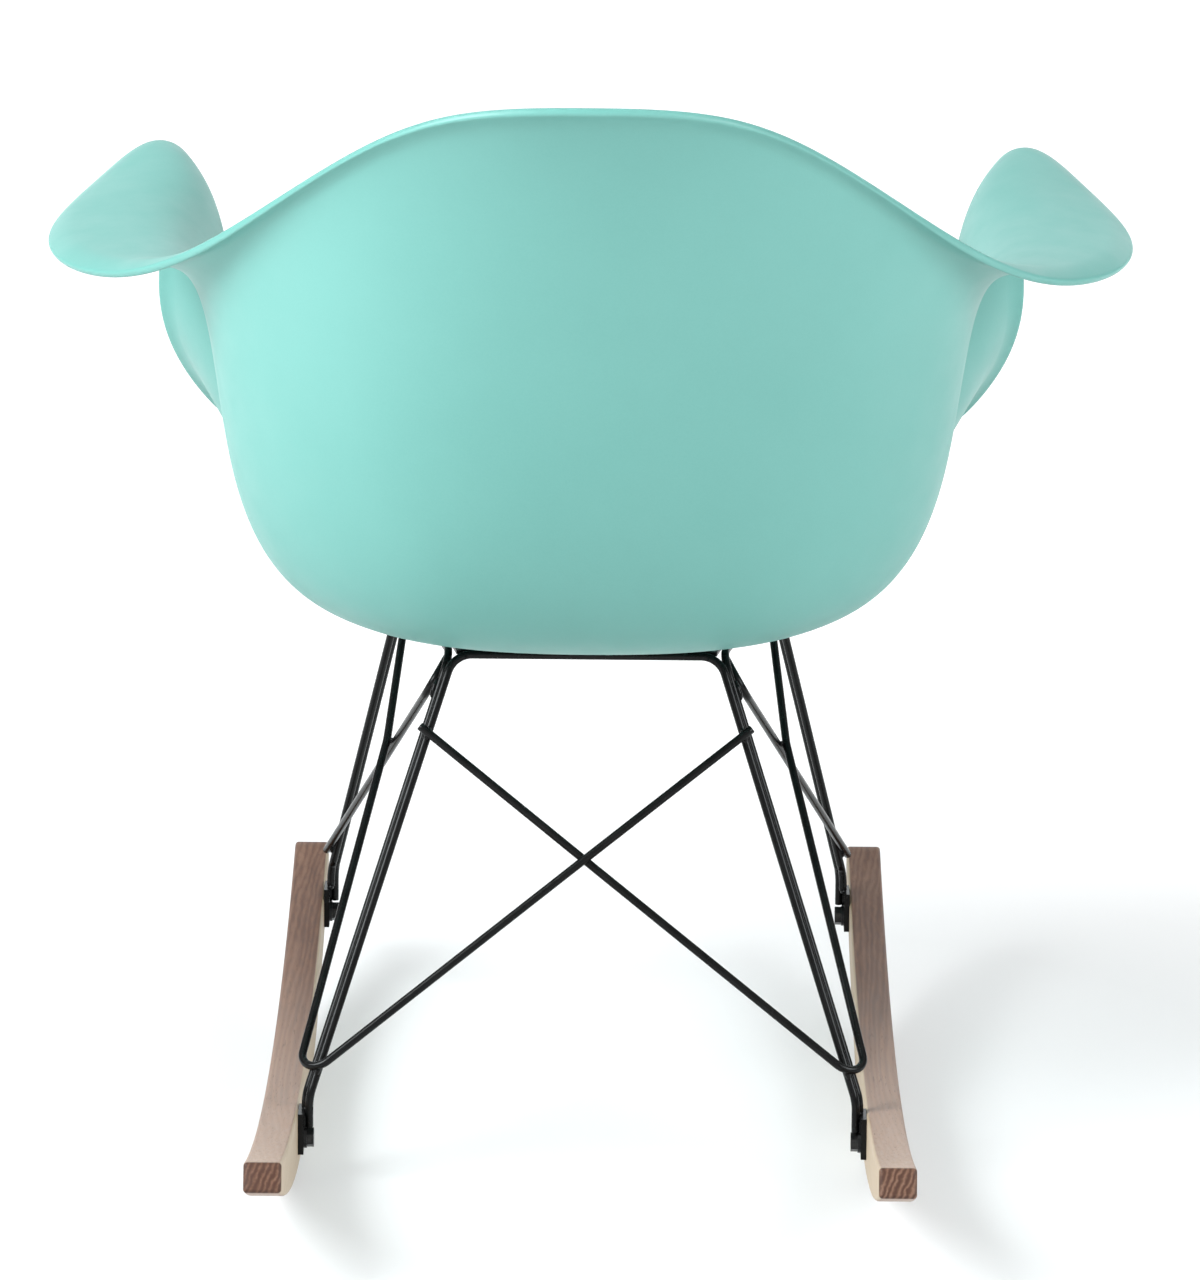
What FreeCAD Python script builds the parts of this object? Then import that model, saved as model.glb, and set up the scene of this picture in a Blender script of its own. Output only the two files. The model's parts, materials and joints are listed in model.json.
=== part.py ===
import FreeCAD, Part
import math
import os
import re
import Sketcher

# A rocking armchair: one moulded seat shell on a bent-rod base with two wooden rockers.
# Millimetres, +Z up.  Origin: on the floor under the middle of the rockers.
# The sitter faces -Y, so +X is the sitter's left.

os.makedirs("parts", exist_ok=True)
doc = FreeCAD.newDocument("rocking_chair")
V = FreeCAD.Vector

# ---------------------------------------------------------------- sizes
SIZES = [
    ("shell_width", 634.0),       # arm edge to arm edge
    ("shell_depth", 600.0),       # front lip to top of back
    ("shell_rise", 352.0),        # seat to top of back
    ("shell_wall", 5.0),
    ("seat_level", 298.0),        # middle of the wall at the flat of the seat
    ("rocker_length", 686.0),
    ("rocker_radius", 967.0),     # running curve
    ("rocker_middle", 39.0),      # height of the wood at mid length
    ("rocker_end", 17.0),         # height of the wood at its ends
    ("rocker_width", 21.0),
    ("rocker_track", 346.0),      # middle of one rocker to middle of the other
    ("rocker_round", 1.5),
    ("rod", 4.8),
    ("seat_drop", 8.0),           # from there down to the axis of the base's top bars
    ("top_level", "=seat_level - seat_drop"),
    ("front_half", 109.0),        # half width of the top frame at the front
    ("rear_half", 77.5),          # half width of the top frame at the rear
    ("front_y", -155.0),
    ("rear_y", 31.0),
    ("front_foot_y", -270.0),
    ("rear_foot_y", 119.0),
    ("front_foot_z", 78.0),       # where the front legs turn upright
    ("rear_foot_z", 50.0),
    ("bracket_wall", 3.2),
    ("bracket_height", 24.0),
    ("bracket_depth", 22.0),
    ("bracket_below", 7.3),       # bolt axis above the lower edge of the bracket
    ("bolt_across", 10.0),
    ("bolt_head", 4.0),
    ("bolt_shank", 5.8),
    ("washer_outer", 12.4),
    ("washer_wall", 1.6),
    ("insert_outer", 9.0),
    ("insert_long", 13.0),
    ("plate_wall", 2.5),
    ("plate_side", 28.0),
    ("glide_wall", 1.5),
    ("glide_outer", 22.0),
    ("boss_outer", 24.0),
    ("nut_outer", 8.0),
    ("nut_long", 5.0),
    ("screw_shank", 4.8),
    ("screw_head", 2.8),
    ("screw_head_outer", 9.5),
    ("fit_gap", 0.1),
]
sheet = doc.addObject("Spreadsheet::Sheet", "Sizes")
for row, (alias, value) in enumerate(SIZES, start=1):
    sheet.set("A%d" % row, alias)
    sheet.set("B%d" % row, str(value))
    sheet.setAlias("B%d" % row, alias)
doc.recompute()


def size(alias):
    """The number the sheet holds under this name."""
    return float(sheet.get(alias))


def bind(thing, **rules):
    """Tie properties of an object to formulas; names of sizes stand bare in the formulas."""
    for prop, rule in rules.items():
        for alias, _ in SIZES:
            rule = re.sub(r"\b%s\b" % alias, "Sizes." + alias, rule)
        thing.setExpression(prop, rule)


# ---------------------------------------------------------------- seat shell
# Half of a net of points over the middle of the wall.  Each row is one spoke, from the rim
# inwards to the middle of the seat; the rows go round from the front lip, up the front edge
# of the side, round the arm and along the shoulder to the top of the back.
SPOKES = [
    [(0, -338, 298), (0, -336, 318), (0, -312, 332), (0, -262, 330),
     (0, -205, 314), (0, -150, 303), (0, -100, 298), (0, -65, 298)],
    [(112, -334, 303), (112, -331, 323), (108, -306, 337), (96, -256, 333),
     (76, -198, 316), (54, -145, 304), (34, -97, 298), (17, -63, 298)],
    [(202, -306, 342), (196, -299, 350), (184, -275, 350), (160, -230, 339),
     (127, -180, 320), (90, -130, 305), (55, -88, 298), (27, -57, 298)],
    [(242, -252, 396), (233, -238, 388), (216, -218, 368), (188, -188, 342),
     (148, -150, 320), (107, -108, 306), (64, -72, 298), (32, -48, 298)],
    [(257, -216, 446), (244, -198, 428), (227, -176, 396), (203, -152, 356),
     (165, -122, 322), (119, -88, 306), (71, -60, 298), (36, -41, 298)],
    [(251, -210, 498), (236, -190, 480), (219, -166, 440), (204, -142, 375),
     (175, -107, 325), (126, -75, 306), (76, -52, 298), (38, -37, 298)],
    [(238, -224, 532), (229, -200, 516), (215, -164, 476), (206, -132, 386),
     (180, -95, 326), (130, -66, 306), (78, -47, 298), (38, -35, 298)],
    [(264, -240, 549), (239, -204, 541), (216, -162, 504), (208, -122, 394),
     (184, -84, 328), (133, -58, 306), (79, -43, 298), (38, -33, 298)],
    [(292, -188, 529), (248, -168, 539), (216, -142, 512), (209, -108, 397),
     (186, -74, 328), (136, -51, 306), (80, -40, 298), (38, -31, 298)],
    [(320, -104, 515), (261, -105, 530), (218, -98, 511), (209, -80, 395),
     (186, -55, 328), (136, -41, 306), (80, -34, 298), (38, -29, 298)],
    [(308, -16, 512), (252, -34, 521), (218, -40, 506), (208, -34, 391),
     (184, -26, 328), (136, -24, 306), (80, -25, 298), (38, -25, 298)],
    [(267, 46, 514), (235, 32, 518), (217, 24, 498), (207, 16, 385),
     (178, 10, 326), (134, -4, 305), (79, -16, 298), (37, -21, 298)],
    [(214, 106, 542), (203, 92, 533), (200, 78, 482), (191, 64, 379),
     (164, 48, 322), (124, 20, 303), (72, -4, 298), (34, -15, 298)],
    [(147, 183, 598), (147, 167, 562), (148, 146, 480), (142, 126, 384),
     (127, 94, 318), (98, 46, 301), (58, 6, 298), (27, -6, 298)],
    [(84, 243, 644), (85, 217, 594), (86, 187, 492), (84, 160, 384),
     (77, 120, 314), (56, 62, 300), (32, 14, 298), (15, 1, 298)],
    [(0, 266, 649), (0, 236, 600), (0, 200, 494), (0, 170, 386),
     (0, 125, 314), (0, 66, 299), (0, 18, 298), (0, 5, 298)],
]
DRAWN_WIDTH, DRAWN_DEPTH, DRAWN_RISE, DRAWN_SEAT = 634.0, 600.0, 352.0, 298.0
DRAWN_MIDDLE = -34.0


def stretched(point):
    """One net point, scaled from the drawn size to the sizes in the sheet."""
    x, y, z = point
    return V(x * size("shell_width") / DRAWN_WIDTH,
             DRAWN_MIDDLE + (y - DRAWN_MIDDLE) * size("shell_depth") / DRAWN_DEPTH,
             size("seat_level") + (z - DRAWN_SEAT) * size("shell_rise") / DRAWN_RISE)


def whole_net():
    """The net all the way round, each spoke from the middle of the seat out to the rim."""
    half = [[stretched(p) for p in reversed(spoke)] for spoke in SPOKES]
    other = [[V(-p.x, p.y, p.z) for p in spoke] for spoke in reversed(half[1:-1])]
    return half + other


def unit(vector):
    return vector / vector.Length


def skin(net, shift):
    """The net moved along its own normals, towards the sitter for a positive shift."""
    count, rings = len(net), len(net[0])
    moved = []
    for i, spoke in enumerate(net):
        before, after = net[i - 1], net[(i + 1) % count]
        line = []
        for j, point in enumerate(spoke):
            if j < 2:
                line.append(point + V(0, 0, shift))
                continue
            along = spoke[min(j + 1, rings - 1)] - spoke[j - 1]
            around = after[j] - before[j]
            line.append(point + unit(along.cross(around)) * shift)
        moved.append(line)
    return moved


def shell_solid():
    """One surface from under the seat, round the rim and back over the seat, closed by two discs."""
    net = whole_net()
    wall = size("shell_wall")
    under, over = skin(net, -wall / 2), skin(net, wall / 2)
    rows = []
    for spoke, low, high in zip(net, under, over):
        out = unit(spoke[-1] - spoke[-2]) * (0.6 * wall)
        rows.append(low + [low[-1] + out, high[-1] + out] + list(reversed(high)))
    across = len(rows[0])
    knots_across = list(range(across - 2))
    surface = Part.BSplineSurface()
    surface.buildFromPolesMultsKnots(
        rows, [1] * (len(rows) + 1), [4] + [1] * (across - 4) + [4],
        list(range(len(rows) + 1)), knots_across, True, False, 3, 3)
    face = surface.toShape()
    discs = []
    for edge in face.Edges:
        if edge.BoundBox.ZLength < 1e-6:
            discs.append(Part.Face(Part.Wire([edge])))
    hull = Part.Shell([face] + discs)
    hull.sewShape()
    solid = Part.Solid(hull)
    if solid.Volume < 0:
        solid.reverse()
    return solid


def wall_over(solid, x, y):
    """Heights of the under and upper side of the wall above one spot of the floor."""
    pin = Part.makeLine(V(x, y, size("seat_level") - 40), V(x, y, size("seat_level") + 60))
    box = pin.common(solid).BoundBox
    return box.ZMin, box.ZMax


def seat_mounts():
    """Name and place of the four fixings under the seat."""
    inset = size("rod") / 2 + size("plate_side") / 2
    lean = (size("front_half") - size("rear_half")) / (size("rear_y") - size("front_y"))
    spots = []
    for end, half, y, sign in (("front", size("front_half"), size("front_y"), 1),
                               ("rear", size("rear_half"), size("rear_y"), -1)):
        across = half - inset - 0.3 * size("rod") - (lean * size("plate_side") / 2 if sign > 0 else -lean * inset / 2)
        for side, turn in (("left", 1), ("right", -1)):
            spots.append((end + "_" + side, turn * across, y + sign * inset, sign, turn))
    return spots


plate_under = size("top_level") - size("plate_wall") / 2 + 0.25
glide_under = plate_under + size("plate_wall")
boss_under = glide_under + size("glide_wall")

shell = shell_solid()
posts, rooms = [], []
for name, x, y, sign, turn in seat_mounts():
    low, high = wall_over(shell, x, y)
    foot = V(x, y, boss_under)
    room = Part.makeCylinder(size("nut_outer") / 2, size("nut_long"), foot)
    rooms.append(room)
    posts.append(Part.makeCylinder(size("boss_outer") / 2, (low + high) / 2 - boss_under, foot).cut(room))
for room, post in zip(rooms, posts):
    shell = shell.cut(room).fuse(post)
seat = doc.addObject("Part::Feature", "seat_shell")
seat.Label = "seat_shell"
seat.Shape = shell.Solids[0] if len(shell.Solids) == 1 else shell
seat.Placement = FreeCAD.Placement()
parts = [seat]


# ---------------------------------------------------------------- bent rods
def bent(points, radii):
    """A wire through straight legs with rounded corners."""
    edges = []
    start = points[0]
    for corner, after, radius in zip(points[1:-1], points[2:], radii):
        back, ahead = unit(start - corner), unit(after - corner)
        half = back.getAngle(ahead) / 2
        reach = radius / math.tan(half)
        first, last = corner + back * reach, corner + ahead * reach
        middle = corner + unit(back + ahead) * (radius / math.sin(half) - radius)
        edges.append(Part.makeLine(start, first))
        edges.append(Part.Arc(first, middle, last).toShape())
        start = last
    edges.append(Part.makeLine(start, points[-1]))
    return Part.Wire(edges)


def rod_piece(label, points, radii):
    """A round rod swept along a bent line; its thickness is tied to the sheet."""
    path = doc.addObject("Part::Feature", label + "_line")
    path.Shape = bent(points, radii)
    ring = doc.addObject("Part::Circle", label + "_ring")
    bind(ring, Radius="rod / 2")
    ring.Placement = FreeCAD.Placement(points[0], FreeCAD.Rotation(V(0, 0, 1), points[1] - points[0]))
    piece = doc.addObject("Part::Sweep", label)
    piece.Label = label
    piece.Sections = [ring]
    piece.Spine = (path, ["Edge%d" % (n + 1) for n in range(len(path.Shape.Edges))])
    piece.Solid = True
    piece.Frenet = False
    piece.Transition = "Right corner"
    parts.append(piece)
    return piece


def mirrored(points):
    return [V(-p.x, p.y, p.z) for p in points]


rod = size("rod")
gap = size("fit_gap")
pair = V(0.42, 0.907, 0) * (rod + gap) / 2        # half the step between two rods of one leg
inner_face = (size("rocker_track") - size("rocker_width")) / 2
foot_x = inner_face - size("bracket_wall") - 1.9
top = size("top_level")


def leg(end):
    """Corner of the top frame, turn of the foot, and end of the foot of one leg, on the +X side."""
    if end == "front":
        return (V(size("front_half"), size("front_y"), top),
                V(foot_x, size("front_foot_y"), size("front_foot_z")))
    return (V(size("rear_half"), size("rear_y"), top),
            V(foot_x, size("rear_foot_y"), size("rear_foot_z")))


def rocker_middle_height(y):
    """Height of the middle of the wood above the floor at this distance from mid length."""
    radius, tip = size("rocker_radius"), size("rocker_radius") - size("rocker_end")
    lift = math.asin(size("rocker_length") / 2 / radius)
    chord, rise = tip * math.sin(lift), radius - tip * math.cos(lift) - size("rocker_middle")
    upper = (chord ** 2 + rise ** 2) / (2 * rise)
    low = radius - math.sqrt(radius ** 2 - y ** 2)
    high = size("rocker_middle") + upper - math.sqrt(upper ** 2 - y ** 2)
    return (low + high) / 2


bolt_height = {"front": rocker_middle_height(size("front_foot_y")),
               "rear": rocker_middle_height(size("rear_foot_y"))}
bracket_top = {end: bolt_height[end] - size("bracket_below") + size("bracket_height")
               for end in bolt_height}
foot_turn = 5 * rod
frame_turn = 3 * rod
step = {}
for end, back in (("front", 1), ("rear", -1)):
    corner, turn = leg(end)
    lean = unit(corner - turn)
    across = V(pair.x, back * pair.y, 0)
    apart = (across - lean * across.dot(lean)).Length
    step[end] = across * (pair.Length / apart)

# Front and rear hoops: up one leg, across under the seat and down the other.
for end in ("front", "rear"):
    corner, turn = leg(end)
    corner, turn = corner - step[end], turn - step[end]
    corner.z = top
    foot = V(turn.x, turn.y, bracket_top[end] - 10)
    half = [foot, turn, corner]
    rod_piece(end + "_hoop", half + list(reversed(mirrored(half))),
              [foot_turn, frame_turn, frame_turn, foot_turn])

# Side hoops: up the rear leg, forward beside the seat and down the front leg.
side_line = []
for end in ("rear", "front"):
    corner, turn = leg(end)
    corner, turn = corner + step[end], turn + step[end]
    foot = V(turn.x, turn.y, bracket_top[end] + gap)
    side_line.append([foot, turn, corner])
side_points = side_line[0] + list(reversed(side_line[1]))
for side, line in (("left", side_points), ("right", mirrored(side_points))):
    rod_piece(side + "_side_hoop", line, [foot_turn, frame_turn, frame_turn, foot_turn])


def along(end, z):
    """Middle of the rod pair of one leg at this height."""
    corner, turn = leg(end)
    return turn + (corner - turn) * ((z - turn.z) / (corner.z - turn.z))


def beside(point, one, other, way):
    """A point one rod away from this point, square to both rods and on the side of the third vector."""
    square = unit(one.cross(other))
    if square.dot(way) < 0:
        square = square * -1
    return point + square * (rod + gap)


lean = {end: unit(leg(end)[0] - leg(end)[1]) for end in ("front", "rear")}

# Diagonal wires: low on the outside of the front leg, up to the front of the rear leg, where
# they turn upwards along the leg.
low_front = along("front", 96) + step["front"]
high_rear = along("rear", 270) + step["rear"]
run = unit(high_rear - low_front)
low_front = beside(low_front, lean["front"], run, V(1, 0, 0))
high_rear = beside(high_rear, lean["rear"], run, V(0.4, -1, 0))
run = unit(high_rear - low_front)
tail = V(size("rear_half") + 0.6 * rod, size("rear_y") - 3.2 * rod, top - 1.1 * rod)
diagonal = [low_front - run * 9, high_rear, tail]
for side, line in (("left", diagonal), ("right", mirrored(diagonal))):
    rod_piece(side + "_diagonal", line, [12])

# Brace wires: from the top of the front leg, past the diagonal, round the rear leg and
# across the back of the chair to the top of the other rear leg.
low_rear = along("rear", 66) - step["rear"]
far_rear = along("rear", 247) - step["rear"]
far_rear.x = -far_rear.x
sweep = unit(far_rear - low_rear)
far_lean = V(-lean["rear"].x, lean["rear"].y, lean["rear"].z)
low_rear = beside(low_rear, lean["rear"], sweep, V(0, 1, 0)) + V(0, 0.42 * rod, 0)
far_rear = beside(far_rear, far_lean, sweep, V(0, 1, 0))
sweep = unit(far_rear - low_rear)
corner = low_rear - sweep * 18
cross = low_front + (high_rear - low_front) * 0.665
cross = beside(cross, run, corner - cross, V(1, 0, 0))
high_front = along("front", 277) + step["front"]
high_front = beside(high_front, lean["front"], high_front - cross, V(-1, 0.5, 0))
halfway = low_rear.x / (low_rear.x - far_rear.x)
apart = unit(sweep.cross(V(-sweep.x, sweep.y, sweep.z))) * (rod + 4 * gap) / 2
for side, turn in (("left", 1), ("right", -1)):
    middle = low_rear + (far_rear - low_rear) * halfway + apart * turn
    line = [high_front, cross, corner, middle, far_rear + sweep * 6]
    if turn < 0:
        line = mirrored(line)
    rod_piece(side + "_brace", line, [30, 11, 900])


# ---------------------------------------------------------------- simple solids
def cylinder(label, radius, height, place, axis=V(0, 0, 1)):
    """A cylinder whose radius and height follow formulas."""
    piece = doc.addObject("Part::Cylinder", label)
    bind(piece, Radius=radius, Height=height)
    piece.Placement = FreeCAD.Placement(place, FreeCAD.Rotation(V(0, 0, 1), axis))
    return piece


def joined(kind, label, first, second):
    """Two solids fused or cut into one labelled piece."""
    piece = doc.addObject(kind, label)
    piece.Base, piece.Tool = first, second
    piece.Label = label
    parts.append(piece)
    return piece


def ring(label, outer, inner, height, place, axis=V(0, 0, 1)):
    return joined("Part::Cut", label, cylinder(label + "_disc", outer, height, place, axis),
                  cylinder(label + "_bore", inner, height, place, axis))


# ---------------------------------------------------------------- seat fixings
def plate(label, x, y, sign, turn):
    """A corner plate between a cross bar and a side bar, with one edge slanted to the side bar."""
    body = doc.addObject("PartDesign::Body", label)
    body.Label = label
    sketch = body.newObject("Sketcher::SketchObject", label + "_outline")
    plane = [f for f in body.Origin.OriginFeatures if f.Role == "XY_Plane"][0]
    sketch.AttachmentSupport = [(plane, "")]
    sketch.MapMode = "FlatFace"
    slant = "plate_side * (front_half - rear_half) / (rear_y - front_y)"
    corners = [("plate_side", "plate_side"), ("0", "plate_side"), ("0", "0"),
               ("plate_side", "0")]
    if sign > 0:
        corners[0] = ("plate_side - " + slant, "plate_side")
    else:
        corners[0] = ("plate_side + " + slant, "plate_side")
    guess = size("plate_side")
    spots = [V(guess, guess, 0), V(0, guess, 0), V(0, 0, 0), V(guess, 0, 0)]
    for n in range(4):
        sketch.addGeometry(Part.LineSegment(spots[n], spots[(n + 1) % 4]), False)
    for n in range(4):
        sketch.addConstraint(Sketcher.Constraint("Coincident", n, 2, (n + 1) % 4, 1))
    for n, (across, up) in enumerate(corners):
        for kind, rule, value in (("DistanceX", across, spots[n].x), ("DistanceY", up, spots[n].y)):
            index = sketch.addConstraint(Sketcher.Constraint(kind, -1, 1, n, 1, value))
            if rule != "0":
                bind(sketch, **{"Constraints[%d]" % index: rule})
    hole = sketch.addGeometry(Part.Circle(V(guess / 2, guess / 2, 0), V(0, 0, 1), 2.6), False)
    for kind, rule in (("DistanceX", "plate_side / 2"), ("DistanceY", "plate_side / 2")):
        index = sketch.addConstraint(Sketcher.Constraint(kind, -1, 1, hole, 3, guess / 2))
        bind(sketch, **{"Constraints[%d]" % index: rule})
    index = sketch.addConstraint(Sketcher.Constraint("Radius", hole, 2.6))
    bind(sketch, **{"Constraints[%d]" % index: "screw_shank / 2 + fit_gap"})
    pad = body.newObject("PartDesign::Pad", label + "_pad")
    pad.Profile = sketch
    bind(pad, Length="plate_wall")
    body.Tip = pad
    half = size("plate_side") / 2
    # local x runs outwards, local y runs away from the cross bar
    if turn * sign > 0:
        turned = FreeCAD.Rotation(V(0, 0, 1), 0 if turn > 0 else 180)
        body.Placement = FreeCAD.Placement(V(x - turn * half, y - sign * half, plate_under), turned)
    else:
        turned = FreeCAD.Rotation(V(0, 1, 0) if turn < 0 else V(1, 0, 0), 180)
        body.Placement = FreeCAD.Placement(
            V(x - turn * half, y - sign * half, plate_under + size("plate_wall")), turned)
    parts.append(body)


for name, x, y, sign, turn in seat_mounts():
    plate("seat_plate_" + name, x, y, sign, turn)
    ring("seat_glide_" + name, "glide_outer / 2", "screw_shank / 2 + fit_gap", "glide_wall",
         V(x, y, glide_under))
    ring("seat_insert_" + name, "nut_outer / 2", "screw_shank / 2 + fit_gap", "nut_long",
         V(x, y, boss_under))
    head = cylinder("seat_screw_%s_head" % name, "screw_head_outer / 2", "screw_head",
                    V(x, y, plate_under - size("screw_head")))
    shank = cylinder("seat_screw_%s_shank" % name, "screw_shank / 2",
                     "plate_wall + glide_wall + nut_long - 4 * fit_gap", V(x, y, plate_under))
    joined("Part::Fuse", "seat_screw_" + name, head, shank)


# ---------------------------------------------------------------- rockers and their fixings
def rocker(side, turn):
    """A bowed wooden runner: lower arc, upper arc, square ends and two blind holes inside."""
    label = side + "_rocker"
    body = doc.addObject("PartDesign::Body", label)
    body.Label = label
    plane = [f for f in body.Origin.OriginFeatures if f.Role == "YZ_Plane"][0]
    sketch = body.newObject("Sketcher::SketchObject", label + "_outline")
    sketch.AttachmentSupport = [(plane, "")]
    sketch.MapMode = "FlatFace"
    lift = "asin(rocker_length / 2 / rocker_radius)"
    tip = "(rocker_radius - rocker_end)"
    chord = tip + " * sin(" + lift + ")"
    height = "(rocker_radius - " + tip + " * cos(" + lift + ") - rocker_middle)"
    rules = {
        "low_x": "rocker_length / 2",
        "low_y": "rocker_radius * (1 - cos(" + lift + "))",
        "high_x": chord,
        "high_y": height + " + rocker_middle",
        "low_radius": "rocker_radius",
        "high_radius": "((" + chord + ")^2 + " + height + "^2) / (2 * " + height + ")",
    }
    radius, thin = size("rocker_radius"), size("rocker_end")
    angle = math.asin(size("rocker_length") / 2 / radius)
    low = V(radius * math.sin(angle), radius * (1 - math.cos(angle)), 0)
    high = V((radius - thin) * math.sin(angle), radius - (radius - thin) * math.cos(angle), 0)
    rise = high.y - size("rocker_middle")
    upper = (high.x ** 2 + rise ** 2) / (2 * rise)
    start = {"low_x": low.x, "low_y": low.y, "high_x": high.x, "high_y": high.y,
             "low_radius": radius, "high_radius": upper}
    lower_arc = Part.ArcOfCircle(V(-low.x, low.y, 0), V(0, 0, 0), low)
    upper_arc = Part.ArcOfCircle(V(-high.x, high.y, 0), V(0, size("rocker_middle"), 0), high)
    sketch.addGeometry(lower_arc, False)
    sketch.addGeometry(Part.LineSegment(low, high), False)
    sketch.addGeometry(upper_arc, False)
    sketch.addGeometry(Part.LineSegment(V(-high.x, high.y, 0), V(-low.x, low.y, 0)), False)
    for first, second in (((0, 2), (1, 1)), ((1, 2), (2, 2)), ((2, 1), (3, 1)), ((3, 2), (0, 1))):
        sketch.addConstraint(Sketcher.Constraint("Coincident", *first, *second))
    for kind, place, rule, mark in (
            ("DistanceX", (1, 1), "low_x", 1), ("DistanceY", (1, 1), "low_y", 1),
            ("DistanceX", (1, 2), "high_x", 1), ("DistanceY", (1, 2), "high_y", 1),
            ("DistanceX", (3, 1), "high_x", -1), ("DistanceY", (3, 1), "high_y", 1),
            ("DistanceX", (3, 2), "low_x", -1), ("DistanceY", (3, 2), "low_y", 1)):
        index = sketch.addConstraint(
            Sketcher.Constraint(kind, -1, 1, *place, mark * start[rule]))
        bind(sketch, **{"Constraints[%d]" % index: rules[rule] if mark > 0 else "-1 * (" + rules[rule] + ")"})
    for curve, rule in ((0, "low_radius"), (2, "high_radius")):
        index = sketch.addConstraint(Sketcher.Constraint("Radius", curve, start[rule]))
        bind(sketch, **{"Constraints[%d]" % index: rules[rule]})
    pad = body.newObject("PartDesign::Pad", label + "_pad")
    pad.Profile = sketch
    pad.Reversed = turn < 0
    bind(pad, Length="rocker_width")
    body.Tip = pad
    doc.recompute()
    soft = body.newObject("PartDesign::Fillet", label + "_soft_edges")
    soft.Base = (pad, ["Edge%d" % (n + 1) for n in range(len(pad.Shape.Edges))])
    bind(soft, Radius="rocker_round")
    body.Tip = soft
    doc.recompute()
    holes = body.newObject("Sketcher::SketchObject", label + "_holes")
    holes.AttachmentSupport = [(plane, "")]
    holes.MapMode = "FlatFace"
    for end in ("front", "rear"):
        y, z = size(end + "_foot_y"), bolt_height[end]
        circle = holes.addGeometry(Part.Circle(V(y, z, 0), V(0, 0, 1), size("insert_outer") / 2), False)
        index = holes.addConstraint(Sketcher.Constraint("DistanceX", -1, 1, circle, 3, y))
        bind(holes, **{"Constraints[%d]" % index: end + "_foot_y"})
        holes.addConstraint(Sketcher.Constraint("DistanceY", -1, 1, circle, 3, z))
        index = holes.addConstraint(Sketcher.Constraint("Radius", circle, size("insert_outer") / 2))
        bind(holes, **{"Constraints[%d]" % index: "insert_outer / 2"})
    drill = body.newObject("PartDesign::Pocket", label + "_drilled")
    drill.Profile = holes
    drill.Reversed = turn > 0
    bind(drill, Length="insert_long")
    body.Tip = drill
    body.Placement = FreeCAD.Placement(V(turn * inner_face, 0, 0), FreeCAD.Rotation())
    parts.append(body)


for side, turn in (("left", 1), ("right", -1)):
    rocker(side, turn)
    outward = V(turn, 0, 0)
    for end in ("front", "rear"):
        name = end + "_" + side
        y, z = size(end + "_foot_y"), bolt_height[end]
        wall, washer, head = size("bracket_wall"), size("washer_wall"), size("bolt_head")
        block = doc.addObject("Part::Box", "rocker_bracket_%s_block" % name)
        bind(block, Length="bracket_wall", Width="bracket_depth", Height="bracket_height")
        left_edge = inner_face - wall if turn > 0 else -inner_face
        block.Placement = FreeCAD.Placement(
            V(left_edge, y - size("bracket_depth") / 2, z - size("bracket_below")), FreeCAD.Rotation())
        bore = cylinder("rocker_bracket_%s_bore" % name, "bolt_shank / 2 + fit_gap",
                        "bracket_wall", V(turn * (inner_face - wall), y, z), outward)
        joined("Part::Cut", "rocker_bracket_" + name, block, bore)
        ring("rocker_washer_" + name, "washer_outer / 2", "bolt_shank / 2 + fit_gap", "washer_wall",
             V(turn * (inner_face - wall - washer), y, z), outward)
        hexagon = doc.addObject("Part::Prism", "rocker_bolt_%s_head" % name)
        hexagon.Polygon = 6
        bind(hexagon, Circumradius="bolt_across / sqrt(3)", Height="bolt_head")
        base = V(turn * (inner_face - wall - washer - head), y, z)
        hexagon.Placement = FreeCAD.Placement(base, FreeCAD.Rotation(V(0, 0, 1), outward))
        shank = cylinder("rocker_bolt_%s_shank" % name, "bolt_shank / 2",
                         "washer_wall + bracket_wall + insert_long - 10 * fit_gap",
                         base + outward * head, outward)
        joined("Part::Fuse", "rocker_bolt_" + name, hexagon, shank)
        ring("rocker_insert_" + name, "insert_outer / 2", "bolt_shank / 2 + fit_gap", "insert_long",
             V(turn * inner_face, y, z), outward)

# ---------------------------------------------------------------- checks and files
doc.recompute()
for thing in doc.Objects:
    if "Invalid" in thing.State or "Error" in thing.State:
        raise RuntimeError("not computed: " + thing.Label)
for piece in parts:
    if piece.Shape.isNull() or not piece.Shape.isValid():
        raise RuntimeError("not a sound solid: " + piece.Label)
for piece in parts:
    piece.Shape.exportStep("parts/" + piece.Label + ".step")
print(len(parts), "pieces written")
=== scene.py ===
# %% [markdown]
# # A rocking armchair, finished around its frame
#
# The chair is one moulded plastic seat shell on a base of bent steel rods, which stands on
# two curved wooden rockers.  The frame holds every piece as an exact solid: it says where
# things are and how big they are.  Here the visible surfaces are made again as smooth
# meshes, each worked out with numpy, and every surface gets its finish from shader nodes.
# All lengths are metres, +Z is up, the sitter faces -Y and +X is the sitter's left.

# %% Load the frame
import json
import math

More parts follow.
